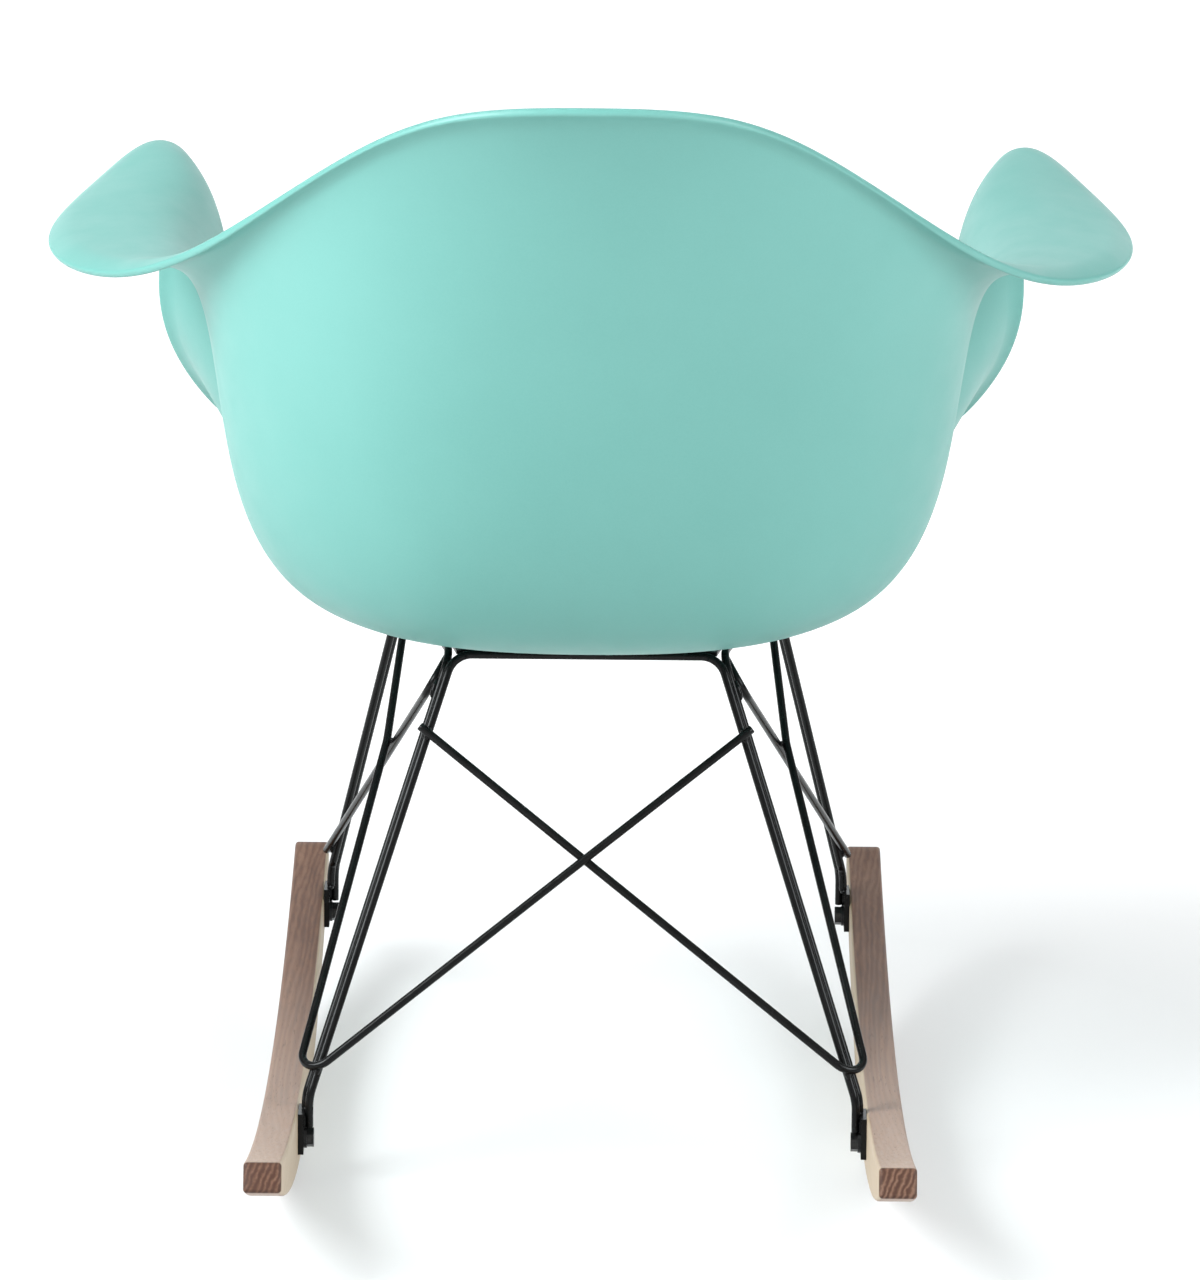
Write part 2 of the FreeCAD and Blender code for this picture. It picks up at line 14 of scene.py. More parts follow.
import bpy
import numpy as np
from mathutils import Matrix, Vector


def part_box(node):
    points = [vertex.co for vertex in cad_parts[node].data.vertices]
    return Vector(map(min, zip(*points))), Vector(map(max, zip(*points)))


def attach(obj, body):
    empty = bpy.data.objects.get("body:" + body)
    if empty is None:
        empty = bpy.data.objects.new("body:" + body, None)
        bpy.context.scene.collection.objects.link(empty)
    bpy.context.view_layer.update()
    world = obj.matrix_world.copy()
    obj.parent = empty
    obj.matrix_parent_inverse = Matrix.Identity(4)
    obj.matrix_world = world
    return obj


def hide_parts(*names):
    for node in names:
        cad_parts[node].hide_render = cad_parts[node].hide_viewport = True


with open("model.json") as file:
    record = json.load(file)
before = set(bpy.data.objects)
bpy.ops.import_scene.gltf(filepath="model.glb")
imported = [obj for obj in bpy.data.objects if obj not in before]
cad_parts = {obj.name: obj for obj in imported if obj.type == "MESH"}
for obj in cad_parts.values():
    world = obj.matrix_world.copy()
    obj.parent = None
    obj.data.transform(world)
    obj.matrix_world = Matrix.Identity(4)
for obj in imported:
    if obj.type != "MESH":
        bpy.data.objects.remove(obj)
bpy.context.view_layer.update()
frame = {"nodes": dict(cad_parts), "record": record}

# %% [markdown]
# ## The camera
#
# The chair is seen from behind and a little above, from more than four metres away with a
# long lens.  A long lens keeps the near and the far ends of the rockers almost the same
# width.  A camera in Blender looks along its own -Z, so a pitch of 90 degrees would be
# level; 76.4 degrees looks down by 13.6.  The place, the turns and the lens are rounded
# results of a least-squares fit that was made beforehand.

# %% Set up the camera
lens_data = bpy.data.cameras.new("studio_camera")
lens_data.sensor_fit = "VERTICAL"
lens_data.sensor_height = 36.0
lens_data.lens = 220.5
camera = bpy.data.objects.new("studio_camera", lens_data)
camera.location = (-0.0188, 4.4166, 1.3588)
camera.rotation_euler = [math.radians(a) for a in (76.411, -0.458, -179.743)]
bpy.context.scene.collection.objects.link(camera)
bpy.context.scene.camera = camera
print("camera height", round(camera.location.z, 3), "lens", lens_data.lens)

# %% [markdown]
# ## Making a mesh from arrays
#
# Every new piece is made of grids of points: row i and column j of an array hold the point
# for the two parameters i and j.  A grid becomes a mesh by joining each point to its
# neighbours.  Its last column joins its first, as round the girth of a tube, and each open
# end is closed with one point in its middle.

# %% Helpers for grids
def unit(vectors):
    """Each vector divided by its own length."""
    vectors = np.asarray(vectors, float)
    return vectors / np.linalg.norm(vectors, axis=-1, keepdims=True)


def grid_faces(rows, columns):
    """Corner numbers of every cell of a grid whose last column joins its first."""
    i, j = np.meshgrid(np.arange(rows - 1), np.arange(columns), indexing="ij")
    after = (j + 1) % columns
    corners = [i * columns + j, (i + 1) * columns + j,
               (i + 1) * columns + after, i * columns + after]
    return np.stack(corners, -1).reshape(-1, 4)


def signed_volume(points, quads, threes):
    """Sum over triangles of corner . (corner x corner) / 6: positive if faces point outwards."""
    triangles = np.concatenate([quads[:, :3], quads[:, [0, 2, 3]], threes])
    a, b, c = points[triangles].transpose(1, 0, 2)
    return np.einsum("ij,ij->", a, np.cross(b, c)) / 6


def make_piece(name, grids, finish):
    """One object from grids whose columns close on themselves; each end gets a middle point."""
    points, quads, threes, start = [], [], [], 0
    for grid in grids:
        rows, columns = grid.shape[:2]
        ends = np.stack([grid[0].mean(0), grid[-1].mean(0)])
        points += [grid.reshape(-1, 3), ends]
        quads.append(grid_faces(rows, columns) + start)
        j = np.arange(columns)
        after = (j + 1) % columns
        last = start + (rows - 1) * columns
        first_middle = np.full(columns, start + rows * columns)
        threes.append(np.stack([first_middle, start + j, start + after], -1))
        threes.append(np.stack([first_middle + 1, last + after, last + j], -1))
        start += rows * columns + len(ends)
    points, quads, threes = (np.concatenate(rows) for rows in (points, quads, threes))
    if signed_volume(points, quads, threes) < 0:
        quads, threes = quads[:, ::-1], threes[:, ::-1]
    mesh = bpy.data.meshes.new(name)
    mesh.from_pydata(points.tolist(), [], quads.tolist() + threes.tolist())
    mesh.polygons.foreach_set("use_smooth", np.ones(len(mesh.polygons), bool))
    mesh.materials.append(finish)
    mesh.update()
    piece = bpy.data.objects.new(name, mesh)
    bpy.context.scene.collection.objects.link(piece)
    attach(piece, "root")
    print(name, len(mesh.vertices), "points", len(mesh.polygons), "faces")
    return piece


# %% [markdown]
# ## Finishes
#
# A finish is a set of shader nodes round one Principled BSDF.  Colour, roughness and bump
# come from noise textures read at Object coordinates, so the pattern is fixed to the solid,
# as a pigment or a grain is.  Values that are the same everywhere go on the shader itself.

# %% A small toolbox for shader nodes
class Finish:
    """One material, with short ways to add the nodes that the finishes below share."""

    def __init__(self, name, **settings):
        self.material = bpy.data.materials.new(name)
        self.material.use_nodes = True
        self.nodes = self.material.node_tree.nodes
        self.links = self.material.node_tree.links
        self.shader = self.nodes["Principled BSDF"]
        for socket, value in settings.items():
            self.shader.inputs[socket.replace("_", " ")].default_value = value
        self.place = self.nodes.new("ShaderNodeTexCoord").outputs["Object"]

    def stretched(self, scale):
        """Object coordinates multiplied along X, Y and Z."""
        node = self.nodes.new("ShaderNodeMapping")
        node.inputs["Scale"].default_value = scale
        self.links.new(self.place, node.inputs["Vector"])
        return node.outputs["Vector"]

    def noise(self, scale, detail=2.0, rough=0.5, where=None):
        """Soft random values round 0.5; scale is how many lumps fit in a metre."""
        node = self.nodes.new("ShaderNodeTexNoise")
        node.inputs["Scale"].default_value = scale
        node.inputs["Detail"].default_value = detail
        node.inputs["Roughness"].default_value = rough
        self.links.new(where or self.place, node.inputs["Vector"])
        return node.outputs["Fac"]

    def spread(self, value, low, high, to_low, to_high):
        """A value moved from one range to another and held inside it."""
        node = self.nodes.new("ShaderNodeMapRange")
        for socket, number in zip(("From Min", "From Max", "To Min", "To Max"),
                                  (low, high, to_low, to_high)):
            node.inputs[socket].default_value = number
        self.links.new(value, node.inputs["Value"])
        return node.outputs["Result"]

    def combine(self, kind, one, other=0.0):
        """One Math node: two values added or multiplied, or one value put through a sine."""
        node = self.nodes.new("ShaderNodeMath")
        node.operation = kind
        for socket, value in zip(node.inputs, (one, other)):
            if isinstance(value, (int, float)):
                socket.default_value = value
            else:
                self.links.new(value, socket)
        return node.outputs["Value"]

    def ramp(self, value, stops):
        """A colour looked up from a value, through the given stops."""
        node = self.nodes.new("ShaderNodeValToRGB")
        marks = node.color_ramp.elements
        while len(marks) < len(stops):
            marks.new(0.5)
        for mark, (at, colour) in zip(marks, stops):
            mark.position = at
            mark.color = (*colour, 1.0)
        self.links.new(value, node.inputs["Fac"])
        return node.outputs["Color"]

    def mixed(self, factor, one, other):
        """One colour laid over another by a factor."""
        node = self.nodes.new("ShaderNodeMix")
        node.data_type = "RGBA"
        self.links.new(factor, node.inputs["Factor"])
        for socket, colour in zip((node.inputs[6], node.inputs[7]), (one, other)):
            if isinstance(colour, tuple):
                socket.default_value = (*colour, 1.0)
            else:
                self.links.new(colour, socket)
        return node.outputs[2]

    def set(self, socket, value):
        """Feed one input of the shader."""
        self.links.new(value, self.shader.inputs[socket])

    def bump(self, height, depth, strength=1.0):
        """Small relief: height 0 to 1 stands for this depth in metres."""
        node = self.nodes.new("ShaderNodeBump")
        node.inputs["Strength"].default_value = strength
        node.inputs["Distance"].default_value = depth
        self.links.new(height, node.inputs["Height"])
        self.links.new(node.outputs["Normal"], self.shader.inputs["Normal"])


# %% [markdown]
# The seat is dyed all through, so its colour barely changes: a slow drift of a few percent
# and a fine speck.  What makes it look like moulded plastic is the skin, which has a satin
# grain about a millimetre across from the etched mould, and broad faint waves from cooling.

# %% The shell's plastic
def moulded_plastic():
    finish = Finish("moulded_plastic", Specular_IOR_Level=0.42)
    drift = finish.noise(6.0, 3.0)
    speck = finish.noise(900.0, 1.0)
    pale, deep = (0.131, 0.346, 0.309), (0.120, 0.328, 0.292)
    slow = finish.ramp(drift, [(0.35, deep), (0.65, pale)])
    fine = finish.spread(speck, 0.3, 0.7, 0.0, 0.05)
    finish.set("Base Color", finish.mixed(fine, slow, (0.22, 0.46, 0.43)))
    finish.set("Roughness", finish.spread(finish.noise(40.0, 4.0), 0.3, 0.7, 0.40, 0.48))
    grain = finish.combine("MULTIPLY", finish.noise(1100.0, 2.0), 0.5)
    waves = finish.combine("MULTIPLY", finish.noise(14.0, 1.0), 1.5)
    finish.bump(finish.combine("ADD", grain, waves), 0.00012, 0.5)
    return finish.material


# %% [markdown]
# The rods are coated with black powder paint.  It is glossy but never quite flat: the baked
# powder keeps a fine orange-peel, which breaks a long highlight into a soft line.

# %% Powder-coated rod and blackened fasteners
def powder_coat():
    finish = Finish("black_powder_coat", Specular_IOR_Level=0.14, Coat_Weight=0.03,
                    Coat_Roughness=0.12)
    tone = finish.noise(60.0, 3.0)
    black, charcoal = (0.003, 0.003, 0.003), (0.007, 0.007, 0.007)
    finish.set("Base Color", finish.ramp(tone, [(0.3, black), (0.7, charcoal)]))
    finish.set("Roughness", finish.spread(finish.noise(300.0, 3.0), 0.3, 0.7, 0.20, 0.28))
    finish.bump(finish.noise(700.0, 2.0), 0.00003, 0.4)
    return finish.material


def blackened_steel():
    finish = Finish("blackened_steel", Metallic=0.7)
    tone = finish.noise(240.0, 4.0, 0.6)
    dark, worn = (0.012, 0.012, 0.013), (0.045, 0.044, 0.043)
    finish.set("Base Color", finish.ramp(tone, [(0.3, dark), (0.7, worn)]))
    finish.set("Roughness", finish.spread(finish.noise(900.0, 3.0), 0.3, 0.7, 0.28, 0.45))
    finish.bump(finish.noise(1500.0, 3.0), 0.00006, 0.5)
    return finish.material


# %% [markdown]
# Walnut has three marks that the eye knows: growth bands a few millimetres wide, darker
# where the tree grew slowly; long fine fibres; and short dark pores.  The rockers are sawn
# from a straight plank, so all three run straight along Y through the wood.  The curved
# faces cut across them and show arches near the ends, and the end faces show the bands as
# slanting stripes.  Reading Object coordinates gives that without any unwrapping.  Three
# changes are laid over the grain: a cream colour on the inner side faces, which is a painted
# reflection of the pale surroundings; a lighter colour towards the rear end, which is a painted
# sheen; and darker end faces, partly real end grain and partly painted shade.

# %% Oiled walnut
END_COSINE, END_SINE = 0.935, 0.3547   # of the angle at which the end faces lean
END_DEPTH = (0.3408, 0.3420)           # darker end faces, partly end grain and partly painted shade, start and are full along that lean
INNER_SHEEN_DEPTH = (0.1632, 0.1640)           # painted reflection on the inner faces is full and stops, across the chair


def oiled_walnut():
    finish = Finish("oiled_walnut", Specular_IOR_Level=0.32, Coat_Weight=0.06, Coat_Roughness=0.35)
    plank = finish.stretched((1.0, 0.05, 1.0))
    bend = finish.noise(34.0, 4.0, 0.6, plank)
    split = finish.nodes.new("ShaderNodeSeparateXYZ")
    finish.links.new(finish.place, split.inputs["Vector"])
    tall = finish.combine("MULTIPLY", split.outputs["Z"], 0.4)
    slant = finish.combine("ADD", split.outputs["X"], tall)
    rings = finish.combine("ADD", finish.combine("MULTIPLY", slant, 1700.0),
                           finish.combine("MULTIPLY", bend, 34.0))
    band = finish.spread(finish.combine("SINE", rings), -1.0, 1.0, 0.0, 1.0)
    fibre = finish.noise(520.0, 5.0, 0.65, finish.stretched((1.0, 0.028, 1.0)))
    cloud = finish.noise(46.0, 4.0, 0.6, finish.stretched((1.0, 0.09, 1.0)))
    fine = finish.combine("ADD", finish.combine("MULTIPLY", fibre, 0.50),
                          finish.combine("MULTIPLY", cloud, 0.60))
    figure = finish.combine("ADD", finish.combine("MULTIPLY", band, 0.13), fine)
    stain = finish.ramp(figure, [(0.40, (0.062, 0.025, 0.013)), (0.56, (0.105, 0.047, 0.028)),
                                 (0.68, (0.150, 0.075, 0.047)), (0.85, (0.20, 0.11, 0.073))])
    pores = finish.noise(1500.0, 2.0, 0.5, finish.stretched((1.0, 0.045, 1.0)))
    pore = finish.spread(pores, 0.62, 0.70, 0.0, 0.55)
    # Painted sheen: the wood is made lighter towards the rear end, in place of the lamps' grazing
    # reflection on the upper faces.
    painted_rear_sheen = finish.spread(split.outputs["Y"], -0.16, 0.34, 0.0, 0.64)
    stain_with_rear_sheen = finish.mixed(painted_rear_sheen, stain, (0.48, 0.34, 0.265))
    pored_wood = finish.mixed(pore, stain_with_rear_sheen, (0.07, 0.032, 0.019))
    across = finish.combine("ABSOLUTE", split.outputs["X"])
    far = finish.combine("ABSOLUTE", split.outputs["Y"])
    lengthwise = finish.combine("ADD", finish.combine("MULTIPLY", far, END_COSINE),
                                finish.combine("MULTIPLY", split.outputs["Z"], END_SINE))
    # Painted reflection: the inner side faces get a cream colour in place of the pale surroundings
    # reflected at a grazing angle.
    inner_sheen_mask = finish.spread(across, *INNER_SHEEN_DEPTH, 0.72, 0.0)
    # The end faces are darker: partly real end grain, partly painted shade for faces that get little
    # light.
    end = finish.spread(lengthwise, *END_DEPTH, 0.0, 1.0)
    wood_with_inner_sheen = finish.mixed(inner_sheen_mask, pored_wood, (0.46, 0.36, 0.24))
    end_grain_and_shade = finish.mixed(band, (0.06, 0.024, 0.014), stain)
    finish.set("Base Color", finish.mixed(end, wood_with_inner_sheen, end_grain_and_shade))
    finish.set("Roughness", finish.spread(fibre, 0.3, 0.7, 0.44, 0.58))
    relief = finish.combine("SUBTRACT", finish.combine("MULTIPLY", fibre, 0.6), pore)
    finish.bump(relief, 0.00015, 0.45)
    return finish.material


# %% Small hidden parts: plastic glide, brass insert, plated screw
def plain_finish(name, dark, light, rough, scale, depth, **settings):
    """A mottled finish between two colours, with a fine relief."""
    finish = Finish(name, **settings)
    tone, sheen = finish.noise(scale, 4.0), finish.noise(scale * 3, 3.0)
    finish.set("Base Color", finish.ramp(tone, [(0.3, dark), (0.7, light)]))
    finish.set("Roughness", finish.spread(sheen, 0.3, 0.7, rough - 0.06, rough + 0.08))
    finish.bump(finish.noise(scale * 6, 3.0), depth, 0.5)
    return finish.material


shell_finish = moulded_plastic()
rod_finish = powder_coat()
fastener_finish = blackened_steel()
rocker_finish = oiled_walnut()
glide_finish = plain_finish("black_nylon", (0.012, 0.012, 0.012), (0.03, 0.03, 0.03),
                            rough=0.5, scale=200.0, depth=0.00008)
insert_finish = plain_finish("turned_brass", (0.50, 0.34, 0.13), (0.68, 0.50, 0.24),
                             rough=0.3, scale=150.0, depth=0.00004, Metallic=1.0)
screw_finish = plain_finish("zinc_plate", (0.38, 0.38, 0.40), (0.55, 0.55, 0.56),
                            rough=0.32, scale=150.0, depth=0.00004, Metallic=1.0)
finish_of_slot = {
    "shell_plastic": shell_finish, "black_wire": rod_finish, "rocker_wood": rocker_finish,
    "glide_plastic": glide_finish, "insert_brass": insert_finish, "screw_steel": screw_finish,
    "black_fastener": fastener_finish}
print(len(finish_of_slot), "finishes")

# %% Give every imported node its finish
slot_of_node = {part["node"]: part["material_slot"] for part in frame["record"]["subparts"]}
for name, node in frame["nodes"].items():
    node.data.materials.clear()
    node.data.materials.append(finish_of_slot[slot_of_node[name]])
print(len(slot_of_node), "nodes have a finish")

# %% [markdown]
# ## The seat shell
#
# The real shell is pressed in one piece: a dished seat that rises into a back and rolls out
# into two arms.  A shape like this could be pulled out of a plane with a subdivision
# surface, or sculpted.  Here it is one smooth surface over a net of points.  The net has 30
# spokes that run from the middle of the seat to the rim.  The list below is one side, from
# the front lip round to the top of the back, each spoke written from the rim inwards; the
# other side is its mirror image.  A cubic B-spline over such a net has no creases.

# %% The net under the surface
MM = 0.001
spokes_from_rim = np.array([
    [(0, -338, 298), (0, -336, 318), (0, -312, 332), (0, -262, 330),
     (0, -205, 314), (0, -150, 303), (0, -100, 298), (0, -65, 298)],
    [(112, -334, 303), (112, -331, 323), (108, -306, 337), (96, -256, 333),
     (76, -198, 316), (54, -145, 304), (34, -97, 298), (17, -63, 298)],
    [(202, -306, 342), (196, -299, 350), (184, -275, 350), (160, -230, 339),
     (127, -180, 320), (90, -130, 305), (55, -88, 298), (27, -57, 298)],
    [(242, -252, 396), (233, -238, 388), (216, -218, 368), (188, -188, 342),
     (148, -150, 320), (107, -108, 306), (64, -72, 298), (32, -48, 298)],
    [(257, -216, 446), (244, -198, 428), (227, -176, 396), (203, -152, 356),
     (165, -122, 322), (119, -88, 306), (71, -60, 298), (36, -41, 298)],
    [(251, -210, 498), (236, -190, 480), (219, -166, 440), (204, -142, 375),
     (175, -107, 325), (126, -75, 306), (76, -52, 298), (38, -37, 298)],
    [(238, -224, 532), (229, -200, 516), (215, -164, 476), (206, -132, 386),
     (180, -95, 326), (130, -66, 306), (78, -47, 298), (38, -35, 298)],
    [(264, -240, 549), (239, -204, 541), (216, -162, 504), (208, -122, 394),
     (184, -84, 328), (133, -58, 306), (79, -43, 298), (38, -33, 298)],
    [(292, -188, 529), (248, -168, 539), (216, -142, 512), (209, -108, 397),
     (186, -74, 328), (136, -51, 306), (80, -40, 298), (38, -31, 298)],
    [(320, -104, 515), (261, -105, 530), (218, -98, 511), (209, -80, 395),
     (186, -55, 328), (136, -41, 306), (80, -34, 298), (38, -29, 298)],
    [(308, -16, 512), (252, -34, 521), (218, -40, 506), (208, -34, 391),
     (184, -26, 328), (136, -24, 306), (80, -25, 298), (38, -25, 298)],
    [(267, 46, 514), (235, 32, 518), (217, 24, 498), (207, 16, 385),
     (178, 10, 326), (134, -4, 305), (79, -16, 298), (37, -21, 298)],
    [(214, 106, 542), (203, 92, 533), (200, 78, 482), (191, 64, 379),
     (164, 48, 322), (124, 20, 303), (72, -4, 298), (34, -15, 298)],
    [(147, 183, 598), (147, 167, 562), (148, 146, 480), (142, 126, 384),
     (127, 94, 318), (98, 46, 301), (58, 6, 298), (27, -6, 298)],
    [(84, 243, 644), (85, 217, 594), (86, 187, 492), (84, 160, 384),
     (77, 120, 314), (56, 62, 300), (32, 14, 298), (15, 1, 298)],
    [(0, 266, 649), (0, 236, 600), (0, 200, 494), (0, 170, 386),
     (0, 125, 314), (0, 66, 299), (0, 18, 298), (0, 5, 298)],
], float) * MM
one_side = spokes_from_rim[:, ::-1]
other_side = one_side[1:-1][::-1] * (-1.0, 1.0, 1.0)
net = np.concatenate([one_side, other_side])
print("net", net.shape)


# %% A smooth surface over the net
def spline_weights(where, knots, count):
    """Weights of a cubic B-spline by the Cox-de Boor rule: boxes between knots, blended
    three times with their right-hand neighbours."""
    where = where[:, None]
    weights = ((knots[:-1] <= where) & (where < knots[1:])).astype(float)
    for degree in (1, 2, 3):
        start, end = knots[:-degree - 1], knots[degree + 1:]
        rise = np.maximum(knots[degree:-1] - start, 1e-9)
        fall = np.maximum(end - knots[1:-degree], 1e-9)
        weights = ((where - start) / rise * weights[:, :-1]
                   + (end - where) / fall * weights[:, 1:])
    return weights[:, :count]


def shell_middle(around, out):
    """Points of the middle of the wall.  The first parameter goes round the shell, one per
    spoke; the second goes from the middle of the seat, 0, to the rim, 6."""
    past_rim = 2 * net[:, -1:] - net[:, -2:-1]
    rows = np.concatenate([net, past_rim], 1)
    rows = np.concatenate([rows, rows[:3]])
    round_knots = np.arange(len(rows) + 4.0) - 3
    out_knots = np.concatenate([np.zeros(3), np.arange(10.0)])
    round_weights = spline_weights(around, round_knots, len(rows))
    out_weights = spline_weights(np.minimum(out, 6 - 1e-7), out_knots, 9)
    return np.einsum("ar,rcx,bc->abx", round_weights, rows, out_weights)


ROUND, OUT = 400, 104
around = np.arange(ROUND) * len(net) / ROUND
out = np.linspace(0, 6, OUT)
middle = shell_middle(around, out)
NUDGE = 1e-4
along_rim = shell_middle((around + NUDGE) % len(net), out) - middle
further_out = shell_middle(around, np.minimum(out + NUDGE, 6))
to_rim = further_out - shell_middle(around, np.maximum(out - NUDGE, 0))
towards_sitter = unit(np.cross(to_rim, along_rim))
print("shell reaches", middle.min((0, 1)).round(3), middle.max((0, 1)).round(3))

# %% [markdown]
# The wall is 5 mm thick.  Blender's Solidify modifier could thicken the surface, but its rim
# would be a flat strip.  The profile here goes out along the upper side, round the rim on
# a softened half circle and back along the under side, so the edge is smooth and closed.
# Over its last 13 mm the wall also curls away from the sitter, by 4 mm at the rim.

# %% Wall with a rolled rim
WALL = 0.005
RIM_STEPS = 14
LIP_CURL, LIP_REACH = 0.004, 0.013


def walled(middle, normal):
    """Upper side, rim and under side in one row of points for every direction round the shell:
    the middle plus or minus half the wall along its normal, joined by a rounded edge."""
    from_rim = np.linalg.norm(np.diff(middle, axis=1), axis=2)[:, ::-1].cumsum(1)[:, ::-1]
    from_rim = np.concatenate([from_rim, np.zeros((len(middle), 1))], 1)
    curl = LIP_CURL * np.clip(1 - from_rim / LIP_REACH, 0, 1) ** 2
    middle = middle - normal * curl[..., None]
    way_out = unit(np.gradient(middle, axis=1))
    normal = unit(normal - np.einsum("ijk,ijk->ij", normal, way_out)[..., None] * way_out)
    upper = middle + normal * WALL / 2
    under = middle - normal * WALL / 2
    outward = way_out[:, -1]
    turn = np.linspace(math.pi / 2, -math.pi / 2, RIM_STEPS)[1:-1]
    soft = 0.75
    reach = np.abs(np.cos(turn)) ** soft
    height = np.sign(np.sin(turn)) * np.abs(np.sin(turn)) ** soft
    rim = (middle[:, -1][:, None] + outward[:, None] * reach[:, None] * WALL / 2
           + normal[:, -1][:, None] * height[:, None] * WALL / 2)
    return np.concatenate([upper, rim, under[:, ::-1]], 1)


def to_the_pole(rows, centre, steps=6):
    """Rings that shrink evenly from the first ring to a point near its centre."""
    share = np.linspace(0.04, 1, steps + 1)[:-1][:, None, None]
    return centre + (rows - centre) * share


wall_rows = walled(middle, towards_sitter).transpose(1, 0, 2)
start_rings = to_the_pole(wall_rows[0], wall_rows[0].mean(0))
end_rings = to_the_pole(wall_rows[-1], wall_rows[-1].mean(0))[::-1]
seat = make_piece("seat_shell_surface", [np.concatenate([start_rings, wall_rows, end_rings])],
                  shell_finish)
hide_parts("seat_shell")

# %% [markdown]
# ## Bent rods
#
# A bender makes each rod from straight runs and round corners, so its centre line is just
# that: straight lines between a few points, with an arc of a given radius at each corner.
# A curve object with a round bevel would give the same tube.  Carrying a circle along the
# line with numpy keeps the points evenly spaced and the mesh closed.

# %% Lines with round corners, and tubes along them
def bent_line(points, radii, gap=0.004, turn=math.radians(6)):
    """Straight runs joined by arcs.  At a corner of half angle a, an arc of radius r starts
    r / tan(a) before the corner and its centre lies r / sin(a) along the bisector."""
    points = np.asarray(points, float)
    line = [points[:1]]
    for corner, after, radius in zip(points[1:-1], points[2:], radii):
        back, ahead = unit(line[-1][-1] - corner), unit(after - corner)
        half = math.acos(np.clip(back @ ahead, -1, 1)) / 2
        first = corner + back * radius / math.tan(half)
        centre = corner + unit(back + ahead) * radius / math.sin(half)
        sweep = math.pi - 2 * half
        angles = np.linspace(0, sweep, max(3, int(sweep / turn) + 2))[:, None]
        start = unit(first - centre)
        side = -back
        line.append(centre + radius * (np.cos(angles) * start + np.sin(angles) * side))
    line.append(points[-1:])
    line = np.concatenate(line)
    length = np.concatenate([[0], np.cumsum(np.linalg.norm(np.diff(line, axis=0), axis=1))])
    even = np.linspace(0, length[-1], int(length[-1] / gap) + 1)
    keep = np.unique(np.concatenate([length, even]).round(6))
    return np.stack([np.interp(keep, length, line[:, k]) for k in range(3)], -1)


ROUND_ROD = 24


def tube(line, radius, reference):
    """A circle carried along a line.  Its two axes at each point are square to the line, one
    of them also square to a reference direction that the line never follows.  Each end
    is softened by one smaller ring."""
    forward = unit(np.gradient(line, axis=0))
    side = unit(np.cross(forward, reference))
    up = np.cross(side, forward)
    angle = np.linspace(0, 2 * math.pi, ROUND_ROD, endpoint=False)[:, None]
    size = np.full(len(line), radius)
    soft = 0.12 * radius
    middle = np.concatenate([line[:1], line[:1] + forward[:1] * soft, line[1:-1],
                             line[-1:] - forward[-1:] * soft, line[-1:]])
    size = np.concatenate([[radius - soft], size, [radius - soft]])
    side = np.concatenate([side[:1], side, side[-1:]])
    up = np.concatenate([up[:1], up, up[-1:]])
    ring = np.cos(angle) * side[:, None] + np.sin(angle) * up[:, None]
    return middle[:, None] + ring * size[:, None, None]


# %% [markdown]
# The base has four hoops.  The front and rear hoops go up one leg, across under the seat
# and down the other; the two side hoops go up the rear leg, forward under the seat and
# down the front leg.  So every leg is a pair of rods lying side by side.  The pair is
# stepped by one rod, square to the leg.

# %% Sizes of the base
ROD, CLEAR = 4.8 * MM, 0.1 * MM
TOP = 290 * MM
FOOT_X = (162.5 - 3.2 - 1.9) * MM
FOOT_TURN, FRAME_TURN = 5 * ROD, 3 * ROD
leg_corner = {"front": np.array([109 * MM, -155 * MM, TOP]),
              "rear": np.array([77.5 * MM, 31 * MM, TOP])}
leg_turn = {"front": np.array([FOOT_X, -0.270, 0.078]), "rear": np.array([FOOT_X, 0.119, 0.050])}
bracket_boxes = {end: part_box("rocker_bracket_" + end + "_left") for end in ("front", "rear")}
bracket_top = {end: bracket_boxes[end][1][2] for end in bracket_boxes}
lean = {end: unit(leg_corner[end] - leg_turn[end]) for end in leg_corner}
PAIR = (ROD + CLEAR) / 2
PAIR_SIDEWAYS, PAIR_BACKWARDS = 0.42, 0.907   # direction from one rod of a pair to the other
step = {}
for end, back in (("front", 1), ("rear", -1)):
    across = np.array([PAIR_SIDEWAYS, back * PAIR_BACKWARDS, 0]) * PAIR
    square = across - lean[end] * (across @ lean[end])
    step[end] = across * PAIR / np.linalg.norm(square)
print("bracket tops", {end: round(v, 4) for end, v in bracket_top.items()})


# %% The four hoops
def mirrored(points):
    return np.asarray(points) * (-1.0, 1.0, 1.0)


def make_rod(node, points, radii, reference):
    """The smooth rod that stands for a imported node."""
    rod = make_piece(node + "_rod", [tube(bent_line(points, radii), ROD / 2, reference)], rod_finish)
    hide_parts(node)


INTO_BRACKET = 10 * MM
turns = [FOOT_TURN, FRAME_TURN, FRAME_TURN, FOOT_TURN]
for end in ("front", "rear"):
    corner, turn = leg_corner[end] - step[end], leg_turn[end] - step[end]
    corner[2] = TOP
    foot = np.array([turn[0], turn[1], bracket_top[end] - INTO_BRACKET])
    half = np.array([foot, turn, corner])
    plane = np.cross(lean[end], (1.0, 0, 0))
    make_rod(end + "_hoop", np.concatenate([half, mirrored(half)[::-1]]), turns, plane)

side_line = {}
for end in ("rear", "front"):
    corner, turn = leg_corner[end] + step[end], leg_turn[end] + step[end]
    side_line[end] = [[turn[0], turn[1], bracket_top[end] + CLEAR], turn, corner]
side_points = np.array(side_line["rear"] + side_line["front"][::-1])
make_rod("left_side_hoop", side_points, turns, (1, 0.05, 0))
make_rod("right_side_hoop", mirrored(side_points), turns, (-1, 0.05, 0))


